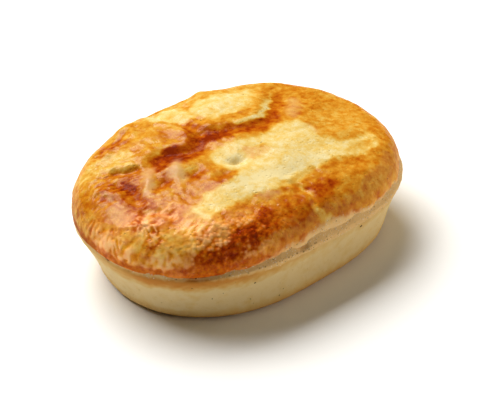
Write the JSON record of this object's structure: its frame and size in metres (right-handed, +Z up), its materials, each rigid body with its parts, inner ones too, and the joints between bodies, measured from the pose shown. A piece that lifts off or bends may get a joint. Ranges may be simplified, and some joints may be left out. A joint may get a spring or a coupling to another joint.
{
  "type": "bacon and cheese pie",
  "caption": "Small oval pie with a tapered pale pastry case and a puffed, folded, golden-brown glazed lid.",
  "frame": {"origin": "middle of the flat underside", "axes": "+X along the oval's long way, +Z up through the lid; the darkest crust and the seam crack face -Y"},
  "size_m": [0.1256, 0.0928, 0.0391],
  "materials": {
    "bare_pastry": "matt baked shortcrust",
    "glazed_pastry": "glossy egg-washed crust, pale cream to dark brown"
  },
  "bodies": {
    "root": {"pastry_case": "bare_pastry", "pastry_lid": "glazed_pastry"}
  },
  "joints": []
}
